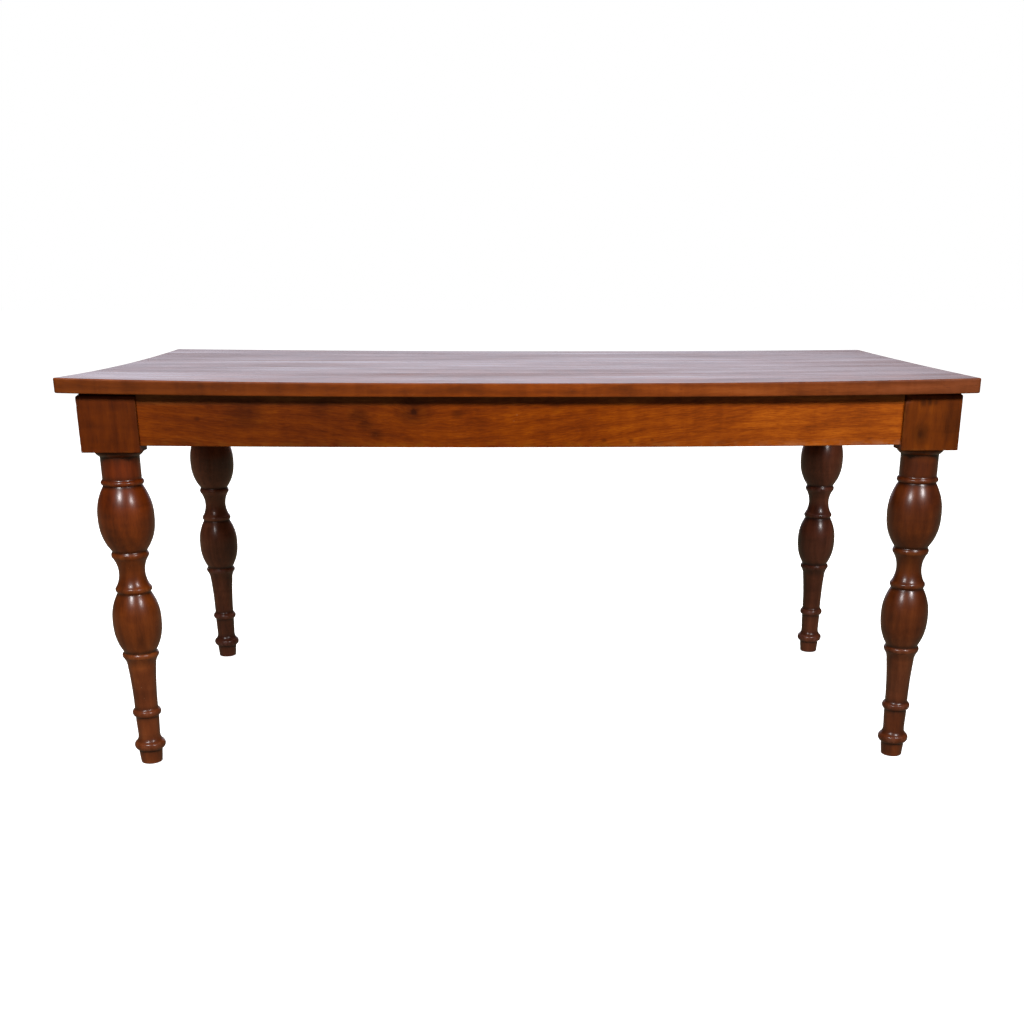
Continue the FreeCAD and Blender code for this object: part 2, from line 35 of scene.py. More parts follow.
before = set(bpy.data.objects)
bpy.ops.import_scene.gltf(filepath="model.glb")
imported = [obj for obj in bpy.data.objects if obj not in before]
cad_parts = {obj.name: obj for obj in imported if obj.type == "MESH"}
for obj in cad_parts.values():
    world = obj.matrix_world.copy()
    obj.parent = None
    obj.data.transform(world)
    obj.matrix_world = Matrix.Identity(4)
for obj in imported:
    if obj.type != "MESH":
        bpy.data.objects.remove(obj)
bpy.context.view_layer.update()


# Shader sums: Python's operators on a Wire add Math nodes
class Wire:
    def __init__(self, graph, socket):
        self.graph = graph
        self.socket = socket

    def sum(self, operation, *values):
        return self.graph.add("Math", {"operation": operation}, dict(enumerate(values)))[0]

    def __add__(self, other): return self.sum("ADD", self, other)
    def __radd__(self, other): return self.sum("ADD", other, self)
    def __sub__(self, other): return self.sum("SUBTRACT", self, other)
    def __rsub__(self, other): return self.sum("SUBTRACT", other, self)
    def __mul__(self, other): return self.sum("MULTIPLY", self, other)
    def __rmul__(self, other): return self.sum("MULTIPLY", other, self)
    def __truediv__(self, other): return self.sum("DIVIDE", self, other)
    def __rtruediv__(self, other): return self.sum("DIVIDE", other, self)
    def __pow__(self, other): return self.sum("POWER", self, other)

    def sine(self): return self.sum("SINE", self)

    def within(self, low, high):  # 0 below low and 1 above high, eased between them
        return self.graph.add("MapRange", {"interpolation_type": "SMOOTHSTEP"},
                              {"Value": self, "From Min": low, "From Max": high})[0]


class Graph:
    def __init__(self, tree):
        self.tree = tree
        tree.nodes.clear()

    def add(self, kind, settings=None, values=None):
        node = self.tree.nodes.new("ShaderNode" + kind)
        for name, setting in (settings or {}).items():
            if name == "stops":
                self.setStops(node.color_ramp.elements, setting)
            else:
                setattr(node, name, setting)
        for name, value in (values or {}).items():
            socket = node.inputs[name]
            if isinstance(value, Wire):
                self.tree.links.new(value.socket, socket)
            elif socket.type == "RGBA":
                socket.default_value = (*value, 1.0)
            else:
                socket.default_value = value
        return [Wire(self, socket) for socket in node.outputs]

    def setStops(self, elements, stops):
        while len(elements) < len(stops):
            elements.new(0.5)
        for element, (place, colour) in zip(elements, stops):
            element.position = place
            element.color = (*colour, 1.0)

    def mix(self, factor, first, second, blend="MIX"):
        settings = {"data_type": "RGBA", "blend_type": blend, "clamp_factor": True}
        return self.add("Mix", settings, {0: factor, 6: first, 7: second})[2]

    def stretch(self, vector, scale):
        return self.add("VectorMath", {"operation": "MULTIPLY"}, {0: vector, 1: scale})[0]

    def noise(self, vector, scale, detail=2.0, rough=0.5, twist=0.0):
        return self.add("TexNoise", None, {
            "Vector": self.stretch(vector, scale), "Scale": 1.0, "Detail": detail,
            "Roughness": rough, "Distortion": twist})[0]

    def split(self, vector):
        return self.add("SeparateXYZ", None, {0: vector})

    def join(self, x, y, z):
        return self.add("CombineXYZ", None, {0: x, 1: y, 2: z})[0]


def newMaterial(name):
    material = bpy.data.materials.new(name)
    material.use_nodes = True
    return material, Graph(material.node_tree)


# Stained and lacquered hardwood. Along the grain is U, and V and W lie across it. A new piece
# carries them as the attribute "grain", and a piece of the frame takes them from its place.
# A noise is its scales along U, V and W, then its detail, roughness and twist.
legLook = {
    "stops": [(0.0, (0.058, 0.0120, 0.0022)), (0.40, (0.115, 0.0245, 0.0040)),
              (0.72, (0.160, 0.0360, 0.0062)), (1.0, (0.225, 0.056, 0.0105))],
    "low": 0.33, "high": 0.67,  # the tones at the first and last stop

    # The run of the grain. A lean is a slow wave: its depth, its waves along U and its start.
    "swayNoise": ((1.5, 3, 3), 1.5), "sway": 0.030,
    "rippleNoise": ((11, 30, 30), 2.0), "ripple": 0.0035,
    "lean": None, "pith": 0.07, "ringsPerMetre": 60, "ringTwist": 9.0,

    # The layers of the tone, and how much each weighs
    "cloudNoise": ((5.5, 15, 15), 4.0, 0.55, 0.5), "cloudDepth": 1.8,
    "bandNoise": ((1.6, 30, 30), 3.0, 0.6), "bandDepth": 0.35,
    "streakNoise": ((12, 190, 190), 4.0, 0.65, 0.3), "streakDepth": 0.4,
    "fibreNoise": ((42, 480, 480), 3.0, 0.7), "fibreDepth": 0.45,
    "figureNoise": ((34, 7, 7), 2.0, 0.5, 0.6), "figureDepth": 0.75,
    "ringDepth": 0.14,

    "poreNoise": ((70, 1100, 1100), 2.0, 0.6), "poreEdge": (0.60, 0.72),
    "poreDepth": 0.45, "poreColour": (0.30, 0.24, 0.20),

    # A knot is a spot along and across the grain, its reach and how dark its heart is. A shade is a
    # soft dark cloud: its spot, its reach across the grain and how dark it is.
    "knots": [((3.4017, 0.6009), 0.009, 0.08)],
    "knotColour": (0.030, 0.0075, 0.0020),
    "shades": [((3.42, 0.655), 0.03, 0.35), ((3.4604, 0.600), 0.008, 0.7),
               ((3.4604, 0.612), 0.008, 0.8), ((3.459, 0.623), 0.006, 0.6)],
    "curlNoise": ((22, 40, 40), 3.0, 0.6, 1.2),

    # Stain in the hollows, painted shade on the block's chamfer under the top, wear on the edges, and pale
    # specks and chips
    "stainAndShadeDepth": 0.75, "stainAndShadeColour": (0.020, 0.0060, 0.0022),
    "scuffNoise": ((40, 60, 60), 4.0, 0.7), "scuffEdge": (0.42, 0.66),
    "wornDepth": 0.45, "wornColour": (0.27, 0.100, 0.040),
    "speckNoise": ((330, 420, 420), 1.0), "patchNoise": ((6, 20, 20), 1.0), "patchDepth": 0.12,
    "speckEdge": (0.83, 0.89),
    "chipDepth": 0.30, "chipColour": (0.34, 0.17, 0.09), "chipGain": 2.4,
    "chips": [((1.535, 0.311), 0.0016), ((1.512, 0.314), 0.0012), ((1.545, 0.305), 0.0010)],

    # The surface under the lacquer
    "relief": {"fibre": 0.35, "streak": 0.5, "pore": -0.5, "ring": 0.1, "band": 0.6, "chip": -0.5},
    "bump": 0.20, "bumpDistance": 0.0004,
    "roughness": 0.45, "roughnessSpread": 0.16, "poreRoughness": 0.12, "wornRoughness": 0.3,
    "specular": 0.10,

    # The lacquer: it lies uneven, in broad bands and fine lines along the grain
    "coat": 0.70, "coatSpread": 0.3, "coatBand": 0.0, "poreCoat": 0.3, "coatRoughness": 0.26,
    "sheenNoise": ((1.7, 10, 10), 3.0, 0.6, 0.3), "lineNoise": ((3.5, 38, 38), 2.0),
    "lineDepth": 0.4, "sheenMiddle": 0.7,
}
apronLook = dict(
    legLook,
    stops=[(0.0, (0.085, 0.0150, 0.0010)), (0.36, (0.180, 0.0300, 0.0012)),
           (0.68, (0.270, 0.0530, 0.0020)), (1.0, (0.390, 0.0950, 0.0060))],
    low=0.30, high=0.70,
    sway=0.09, ripple=0.007, lean=(0.035, 3.6, 2.2), pith=0.04, ringsPerMetre=45,
    ringDepth=0.2, fibreDepth=1.6, figureDepth=0.5,
    bandNoise=((2.2, 34, 34), 3.0, 0.6), bandDepth=0.45,
    streakNoise=((14, 320, 320), 4.0, 0.65, 0.3), streakDepth=0.65,
    knots=[((-0.203, 0.7033), 0.0130, 0.80)],
    knotColour=(0.045, 0.0070, 0.0008),
    shades=[((-0.5135, 0.700), 0.040, 0.45), ((-0.3048, 0.698), 0.020, 0.5),
            ((-0.292, 0.680), 0.014, 0.45), ((-0.2746, 0.6635), 0.013, 0.55),
            ((-0.1219, 0.7000), 0.013, 0.5), ((-0.6018, 0.6914), 0.006, 0.5),
            ((0.150, 0.6510), 0.005, 0.5), ((0.20, 0.6500), 0.005, 0.5),
            ((0.24, 0.6520), 0.004, 0.4), ((-0.375, 0.712), 0.022, 0.3),
            ((0.06, 0.713), 0.012, 0.3)],
    chips=[((-0.0127, 0.6975), 0.0016), ((-0.0184, 0.6866), 0.0012), ((-0.0182, 0.7156), 0.0012)],
    chipDepth=0.35, coat=0.22, coatRoughness=0.28, specular=0.05,
)
topLook = dict(
    legLook,
    stops=[(0.0, (0.080, 0.0180, 0.0035)), (0.40, (0.165, 0.0350, 0.0048)),
           (0.72, (0.230, 0.052, 0.0080)), (1.0, (0.31, 0.080, 0.016))],
    low=0.30, high=0.70,
    sway=0.05, ripple=0.004, pith=0.05, ringsPerMetre=55, knots=[], shades=[], chips=[],
    cloudDepth=1.3, bandDepth=0.6, ringDepth=0.25, streakDepth=0.45, fibreDepth=0.5,
    wornDepth=0.5, wornColour=(0.36, 0.12, 0.045),
    stainAndShadeDepth=0.5, stainAndShadeColour=(0.05, 0.016, 0.006),
    roughness=0.36, roughnessSpread=0.12, specular=0.14,
    coat=0.68, coatSpread=0.6, coatBand=1.5, coatRoughness=0.17,
)
innerLook = dict(
    legLook,
    stops=[(0.0, (0.20, 0.105, 0.050)), (0.5, (0.33, 0.19, 0.095)),
           (0.75, (0.40, 0.24, 0.13)), (1.0, (0.47, 0.30, 0.17))],
    poreColour=(0.45, 0.36, 0.30), knots=[], shades=[], chips=[], chipDepth=0.0,
    roughness=0.62, specular=0.3, coat=0.0, coatRoughness=0.3, bump=0.35,
)

# Spots on the wood. Each reach is a share of the spot's own, and a spot is longer along the grain.
spots = {
    "stretch": 1.35,
    "bendReach": 3.2, "bendDepth": 0.8,  # the grain bends round a knot
    "rimReach": 2.6, "rimWidth": 0.22, "rimTwist": 6.0, "rimDepth": 0.03,  # fine rings round it
    "haloReach": 2.8, "haloDepth": 1.3, "coreReach": 0.62, "coreDepth": 0.3,
    "shadeReach": 1.6, "shadeCurl": 0.9, "shadeEdge": (0.25, 1.0), "fadeReach": 2.2,
}


def distance(u, v, spot, reach):  # from a spot, with 1 at its reach
    du = (u - spot[0]) / (reach * spots["stretch"])
    dv = (v - spot[1]) / reach
    return (du * du + dv * dv) ** 0.5


def nearness(u, v, spot, reach):  # 1 at the heart of a spot and 0 at its reach
    return 1.0 - distance(u, v, spot, reach).within(0.0, 1.0)


def woodMaterial(name, look, along=None):
    material, graph = newMaterial(name)
    if along:
        x, y, z = graph.split(graph.add("TexCoord")[3])
        grain = {"X": graph.join(x, z, y), "Y": graph.join(y, z, x)}[along]
    else:
        grain = graph.add("Attribute", {"attribute_name": "grain"})[1]
    u, v, w = graph.split(grain)

    # The grain sways and ripples along the board, and bends round the knots
    sway = (graph.noise(grain, *look["swayNoise"]) - 0.5) * look["sway"]
    ripple = (graph.noise(grain, *look["rippleNoise"]) - 0.5) * look["ripple"]
    across = v + sway + ripple
    if look["lean"]:
        depth, waves, start = look["lean"]
        across = across + (u * waves + start).sine() * depth
    for spot, reach, _ in look["knots"]:
        across = across + nearness(u, v, spot, reach * spots["bendReach"]) * (reach * spots["bendDepth"])
    waved = graph.join(u, across, w + sway)

    # Growth rings run to long arches, and fade in and out with the clouds of the stain
    clouds = graph.noise(waved, *look["cloudNoise"])
    depth = w + look["pith"]
    radius = (across * across + depth * depth) ** 0.5
    turns = radius * (look["ringsPerMetre"] * math.tau) + clouds * look["ringTwist"]
    bands, streaks, fibres, figure = (graph.noise(waved, *look[layer + "Noise"])
                                      for layer in ("band", "streak", "fibre", "figure"))
    layers = {"cloud": clouds, "band": bands, "ring": turns.sine() * clouds + 0.5,
              "streak": streaks, "fibre": fibres, "figure": figure}
    whole = sum(look[layer + "Depth"] for layer in layers)
    tone = sum(wire * (look[layer + "Depth"] / whole) for layer, wire in layers.items())
    for spot, reach, _ in look["knots"]:
        near = nearness(u, v, spot, reach * spots["rimReach"])
        rims = distance(u, v, spot, reach * spots["rimWidth"]) + clouds * spots["rimTwist"]
        tone = tone + rims.sine() * near * spots["rimDepth"]
    tone = tone.within(look["low"], look["high"])
    colour = graph.add("ValToRGB", {"stops": look["stops"]}, {0: tone})[0]

    # Pores are short dark dashes. A knot is dark, in a wide brown shade.
    pores = graph.noise(waved, *look["poreNoise"]).within(*look["poreEdge"])
    colour = graph.mix(pores * look["poreDepth"], colour, look["poreColour"], "MULTIPLY")
    if look["knots"] or look["shades"]:
        curls = graph.noise(grain, *look["curlNoise"])
    for spot, reach, heart in look["knots"]:
        halo = nearness(u, v, spot, reach * spots["haloReach"]) * (curls * spots["haloDepth"])
        core = nearness(u, v, spot, reach * spots["coreReach"]) * (curls + spots["coreDepth"])
        colour = graph.mix(halo + core * heart, colour, look["knotColour"])
    for spot, reach, depth in look["shades"]:
        near = nearness(u, v, spot, reach * spots["shadeReach"]) + (curls - 0.5) * spots["shadeCurl"]
        fade = nearness(u, v, spot, reach * spots["fadeReach"])
        colour = graph.mix(near.within(*spots["shadeEdge"]) * fade * depth, colour, look["knotColour"])

    # Stain gathers in the grooves and seams, the block's chamfer under the top is painted dark as shade,
    # and use wears the edges paler
    scuffs = graph.noise(grain, *look["scuffNoise"])
    if not along:
        hollow, worn, gloss = (graph.add("Attribute", {"attribute_name": mark})[2]
                               for mark in ("hollow", "worn", "gloss"))
        tint = graph.add("Attribute", {"attribute_name": "tint"})[1]
        colour = graph.mix(hollow * look["stainAndShadeDepth"], colour, look["stainAndShadeColour"])
        wear = worn * scuffs.within(*look["scuffEdge"]) * look["wornDepth"]
        colour = graph.mix(wear, colour, look["wornColour"])
        colour = graph.mix(1.0, colour, tint, "MULTIPLY")
    patches = graph.noise(grain, *look["patchNoise"]) * look["patchDepth"]
    chips = (graph.noise(grain, *look["speckNoise"]) + patches).within(*look["speckEdge"])
    for spot, reach in look["chips"]:
        chips = chips + nearness(u, v, spot, reach) * scuffs * look["chipGain"]
    if look["chipDepth"]:
        colour = graph.mix(chips * look["chipDepth"], colour, look["chipColour"])

    rough = look["roughness"] + (scuffs - 0.5) * look["roughnessSpread"] + pores * look["poreRoughness"]
    if not along:
        rough = rough + worn * look["wornRoughness"]
    surfaces = dict(layers, pore=pores, chip=chips)
    height = sum(surfaces[surface] * rise for surface, rise in look["relief"].items())
    bump = graph.add("Bump", None, {
        "Strength": look["bump"], "Distance": look["bumpDistance"], "Height": height})[0]

    # Wood out of sight has no lacquer
    coat = look["coat"]
    if coat:
        coat = coat + (streaks - 0.5) * look["coatSpread"]
        if look["coatBand"]:
            lines = graph.noise(waved, *look["lineNoise"]) * look["lineDepth"]
            sheen = graph.noise(waved, *look["sheenNoise"]) + lines - look["sheenMiddle"]
            coat = coat + sheen * look["coatBand"]
        coat = (coat - pores * (look["coat"] * look["poreCoat"])) * gloss
    shader = graph.add("BsdfPrincipled", None, {
        "Base Color": colour, "Roughness": rough, "Normal": bump, "IOR": 1.5,
        "Specular IOR Level": look["specular"], "Coat Weight": coat,
        "Coat Roughness": look["coatRoughness"]})[0]
    graph.add("OutputMaterial", None, {0: shader})
    return material


# Steel, in dull and bright patches and with fine scratches
screwLook = {
    "dull": (0.42, 0.38, 0.30), "bright": (0.62, 0.57, 0.45),
    "cloudNoise": ((90, 90, 90), 3.0, 0.6), "cloudEdge": (0.35, 0.7),
    "scratchNoise": ((2500, 2500, 300), 2.0), "bump": 0.15, "bumpDistance": 0.0001,
    "roughness": 0.28, "cloudRoughness": 0.15, "scratchRoughness": 0.1,
}
boltLook = dict(screwLook, dull=(0.36, 0.36, 0.37), bright=(0.60, 0.60, 0.61), roughness=0.3)


def steelMaterial(name, look):
    material, graph = newMaterial(name)
    place = graph.add("TexCoord")[3]
    cloud = graph.noise(place, *look["cloudNoise"])
    scratches = graph.noise(place, *look["scratchNoise"])
    rough = look["roughness"] + cloud * look["cloudRoughness"] + scratches * look["scratchRoughness"]
    bump = graph.add("Bump", None, {
        "Strength": look["bump"], "Distance": look["bumpDistance"], "Height": scratches})[0]
    shader = graph.add("BsdfPrincipled", None, {
        "Base Color": graph.mix(cloud.within(*look["cloudEdge"]), look["dull"], look["bright"]),
        "Roughness": rough, "Normal": bump, "Metallic": 1.0})[0]
    graph.add("OutputMaterial", None, {0: shader})
    return material


legWood = woodMaterial("legWood", legLook)
topWood = woodMaterial("topWood", topLook)
apronWood = woodMaterial("apronWood", apronLook)
innerWood = {"X": woodMaterial("innerWoodLengthwise", innerLook, "X"),
             "Y": woodMaterial("innerWoodCrosswise", innerLook, "Y")}
screwSteel = steelMaterial("screwSteel", screwLook)
boltSteel = steelMaterial("boltSteel", boltLook)
print("materials made")


def blend(stops, places):  # the tints at some places, between the tints at the stops
    known, tints = [place for place, _ in stops], np.array([tint for _, tint in stops])
    return np.stack([np.interp(places, known, tints[:, part]) for part in range(3)], axis=-1)


def makePiece(node, shells, marks, material):
    # A shell is a list of rows. Each row is a closed ring of points, and a flat face closes either
    # end. The marks are what the material reads at each point.
    points, faces = [], []
    for rows in shells:
        count, base = len(rows[0]), len(points)
        last = base + (len(rows) - 1) * count
        faces += [tuple(reversed(range(base, base + count))), tuple(range(last, last + count))]
        for start in range(base, last, count):
            for column in range(count):
                following = (column + 1) % count
                faces.append((start + column, start + following,
                              start + count + following, start + count + column))
        points += [point for row in rows for point in row]
    mesh = bpy.data.meshes.new(node + "_mesh")
    mesh.from_pydata(points, [], faces)
    solid = bmesh.new()
    solid.from_mesh(mesh)
    bmesh.ops.recalc_face_normals(solid, faces=solid.faces)
    solid.to_mesh(mesh)
    solid.free()
    for name, values in marks.items():
        values = np.asarray(values, dtype=np.float32)
        kind, field = ("FLOAT_VECTOR", "vector") if values.ndim == 2 else ("FLOAT", "value")
        mesh.attributes.new(name, kind, "POINT").data.foreach_set(field, values.ravel())
    mesh.shade_smooth()
    mesh.set_sharp_from_angle(angle=math.radians(35))
    mesh.materials.append(material)
    piece = bpy.data.objects.new(node + "_wood", mesh)
    bpy.context.scene.collection.objects.link(piece)
    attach(piece, "root")
    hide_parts(node)
    return piece


# Legs
leg = {
    "blockSide": 0.108,
    "blockBottom": 0.631,
    "blockTop": 0.738,
    "blockChamfer": 0.0065,
    "blockEdge": 0.0013,
    "leastEdge": 0.0006,
    "neck": 0.0722,
    "neckRing": 0.0792,
    "upperBulb": 0.1046,
    "collar": 0.0698,
    "waist": 0.0494,
    "lowerBulb": 0.0926,
    "lowerRing": 0.0554,
    "shaft": 0.045,
    "ankleRing": 0.0604,
    "foot": 0.0456,
    "risePower": 2.5,
    "fallPower": 2.15,
    "cornerCut": 0.33,  # of the block's side
    "grooveDepth": 0.0016,  # a groove this deep is full of stain
    "ridgeWear": 0.8,
    "blockGloss": 0.12,
    "raggedScale": (60, 90),  # across the block and up it
    "nickDepth": 0.6,  # of the block's edge
    "nickFrom": 0.93,  # how near a corner its nicks and its wear begin
    "wearFrom": 0.955,
    "chipReach": 0.016,
    "chipDepth": 0.0055,
    "chipWear": 1.2,
    "grainShift": (1.37, 0.31, -0.23),  # from one leg's wood to the next
}

# Stain and painted light differ from leg to leg and up each leg: a height, then its tint. The feet and the
# back legs are painted lighter and greyer, as painted floor light and reflection.
legStainAndLightTints = {
    "leg_front_left": [
        (0.0, (1.50, 1.56, 1.95)), (0.08, (1.22, 1.23, 1.60)), (0.15, (0.92, 0.92, 1.30)),
        (0.27, (1.15, 1.08, 0.70)), (0.44, (1.15, 0.98, 0.33)), (0.60, (0.98, 0.62, 0.12)),
        (0.64, (0.70, 0.54, 0.06))],
    "leg_front_right": [
        (0.0, (1.25, 1.25, 1.50)), (0.08, (1.00, 1.02, 1.60)), (0.15, (0.74, 0.87, 1.75)),
        (0.27, (0.72, 0.66, 0.62)), (0.44, (0.64, 0.54, 0.23)), (0.60, (0.68, 0.56, 0.45)),
        (0.64, (0.98, 0.88, 0.18))],
    "leg_back_right": [(0.0, (0.95, 1.12, 2.5)), (0.3, (0.80, 0.92, 2.4)), (0.631, (0.80, 0.88, 2.0))],
    "leg_back_left": [(0.0, (1.00, 1.17, 2.9)), (0.3, (1.07, 1.32, 3.2)), (0.631, (1.24, 1.50, 3.4))],
}

# From the floor up. Each spot is a diameter, the radius as a share of it, and the height as a share
# of the turned part. A line ends at its spot, an arc bends through the first spot to the second, a
# rise swells to the crest of a bulb and a fall leaves it.
legStart = ("foot", 0.424, 0)
legSteps = [
    ("arc", ("foot", 0.447, 0.0012), ("foot", 0.457, 0.0045)),
    ("line", ("foot", 0.5, 0.036)),
    ("line", ("foot", 0.5, 0.044)),
    ("arc", ("ankleRing", 0.5, 0.0585), ("ankleRing", 0.468, 0.0705)),
    ("line", ("ankleRing", 0.458, 0.0712)),
    ("arc", ("ankleRing", 0.405, 0.0765), ("shaft", 0.48, 0.0885)),
    ("line", ("shaft", 0.472, 0.096)),
    ("line", ("shaft", 0.5, 0.146)),
    ("line", ("shaft", 0.502, 0.157)),
    ("arc", ("lowerRing", 0.5, 0.1685), ("lowerRing", 0.474, 0.1785)),
    ("line", ("lowerRing", 0.463, 0.1792)),
    ("arc", ("lowerRing", 0.425, 0.1832), ("shaft", 0.502, 0.1925)),
    ("line", ("shaft", 0.502, 0.2)),
    ("arc", ("shaft", 0.54, 0.269), ("shaft", 0.605, 0.325)),
    ("arc", ("collar", 0.402, 0.336), ("collar", 0.452, 0.3505)),
    ("line", ("collar", 0.457, 0.3525)),
    ("arc", ("collar", 0.5, 0.3625), ("collar", 0.453, 0.3725)),
    ("line", ("collar", 0.453, 0.376)),
    ("rise", ("lowerBulb", 0.5, 0.474)),
    ("fall", ("collar", 0.465, 0.5595)),
    ("line", ("collar", 0.453, 0.5625)),
    ("line", ("collar", 0.456, 0.5645)),
    ("arc", ("collar", 0.494, 0.5735), ("collar", 0.458, 0.5825)),
    ("arc", ("waist", 0.5, 0.6265), ("collar", 0.464, 0.6705)),
    ("arc", ("collar", 0.505, 0.681), ("collar", 0.472, 0.6905)),
    ("line", ("collar", 0.468, 0.6935)),
    ("rise", ("upperBulb", 0.5, 0.7985)),
    ("fall", ("neck", 0.507, 0.8915)),
    ("line", ("neck", 0.496, 0.8945)),
    ("arc", ("neckRing", 0.5, 0.9025), ("neckRing", 0.478, 0.9095)),
    ("line", ("neckRing", 0.468, 0.9101)),
    ("arc", ("neckRing", 0.4595, 0.9122), ("neck", 0.5, 0.9175)),
    ("line", ("neck", 0.5, 0.9805)),
    ("arc", ("blockSide", 0.368, 0.9845), ("blockSide", 0.405, 0.9915)),
    ("line", ("blockSide", 0.405, 1)),
]

# How finely the legs are made. The turns are degrees from the middle of a side, closest at a corner.
legDetail = {
    "arcSteps": 12,
    "bulbSteps": 28,
    "lineStep": 0.004,
    "profileStep": 0.0005,
    "softening": 10,
    "blockSteps": 26,
    "turns": [*range(0, 41, 4), 42.5, 44, 44.4, 44.7, 45, 45.3, 45.6, 46, 47.5, *range(50, 87, 4)],
}


def arcPoints(first, bend, last, count):
    # The circle through three points, from the first to the last
    (ax, ay), (bx, by), (cx, cy) = first, bend, last
    spread = 2 * (ax * (by - cy) + bx * (cy - ay) + cx * (ay - by))
    a, b, c = ax * ax + ay * ay, bx * bx + by * by, cx * cx + cy * cy
    ox = (a * (by - cy) + b * (cy - ay) + c * (ay - by)) / spread
    oy = (a * (cx - bx) + b * (ax - cx) + c * (bx - ax)) / spread
    radius = math.hypot(ax - ox, ay - oy)
    start, middle, end = (math.atan2(y - oy, x - ox) for x, y in (first, bend, last))
    middle, end = (middle - start) % math.tau, (end - start) % math.tau
    if middle > end:
        end -= math.tau
    return [(ox + radius * math.cos(start + end * step / count),
             oy + radius * math.sin(start + end * step / count)) for step in range(1, count + 1)]


def legOutline():
    def place(spot):
        diameter, share, height = spot
        return leg[diameter] * share, leg["blockBottom"] * height

    outline = [place(legStart)]
    for kind, *stops in legSteps:
        (r0, z0), (r1, z1) = outline[-1], place(stops[-1])
        count = max(1, round(abs(z1 - z0) / legDetail["lineStep"]))
        if kind in ("rise", "fall"):
            count = legDetail["bulbSteps"]
        shares = [step / count for step in range(1, count + 1)]
        if kind == "line":
            outline += [(r0 + (r1 - r0) * t, z0 + (z1 - z0) * t) for t in shares]
        elif kind == "arc":
            outline += arcPoints((r0, z0), place(stops[0]), (r1, z1), legDetail["arcSteps"])
        elif kind == "rise":
            outline += [(r1 - (r1 - r0) * (1 - t) ** leg["risePower"], z0 + (z1 - z0) * t) for t in shares]
        else:
            outline += [(r0 - (r0 - r1) * t ** leg["fallPower"], z0 + (z1 - z0) * t) for t in shares]
    return outline


def squareReach(turn, half, corner):
    # How far the side of a rounded square is from its middle, in one direction
    fold = abs((turn + math.pi / 4) % (math.pi / 2) - math.pi / 4)
    if half * math.tan(fold) <= half - corner:
        return half / math.cos(fold)
    inner = half - corner
    along = inner * (math.cos(fold) + math.sin(fold))
    return along + math.sqrt(along * along - 2 * inner * inner + corner * corner)


def softened(values, radius):
    kernel = np.exp(-0.5 * (np.arange(-3 * radius, 3 * radius + 1) / radius) ** 2)
    return np.convolve(np.pad(values, 3 * radius, mode="edge"), kernel / kernel.sum(), mode="valid")


def blockLevels():
    # The block is rounded along its lower edge and chamfered round its top. A level is a height,
    # how far it is drawn in, how dark it is painted and how worn: the lower edge is darker, and the
    # chamfer under the top is painted dark as shade.
    edge, chamfer, bottom, top = (leg["block" + part] for part in ("Edge", "Chamfer", "Bottom", "Top"))
    levels = [(bottom, edge * 1.6, 0.25, 0), (bottom, edge * 0.6, 0.25, 0)]
    for swing in (math.radians(30), math.radians(60), math.radians(90)):
        levels.append((bottom + edge * (1 - math.cos(swing)), edge * (1 - math.sin(swing)), 0.1, 0.7))
    wall, steps = top - chamfer - bottom - edge, legDetail["blockSteps"]
    levels += [(bottom + edge + wall * step / steps, 0, 0, 0) for step in range(1, steps)]
    levels += [(top - chamfer, edge * 0.12, 0, 0.6), (top - chamfer + edge, edge * 0.8, 0.2, 0.3)]
    # The chamfer sits in the top's shadow and is painted dark: painted shade
    levels += [(top - chamfer * (1 - share), chamfer * share, 0.9, 0) for share in (0.45, 0.75, 1)]
    return sorted(levels, key=lambda level: level[0])


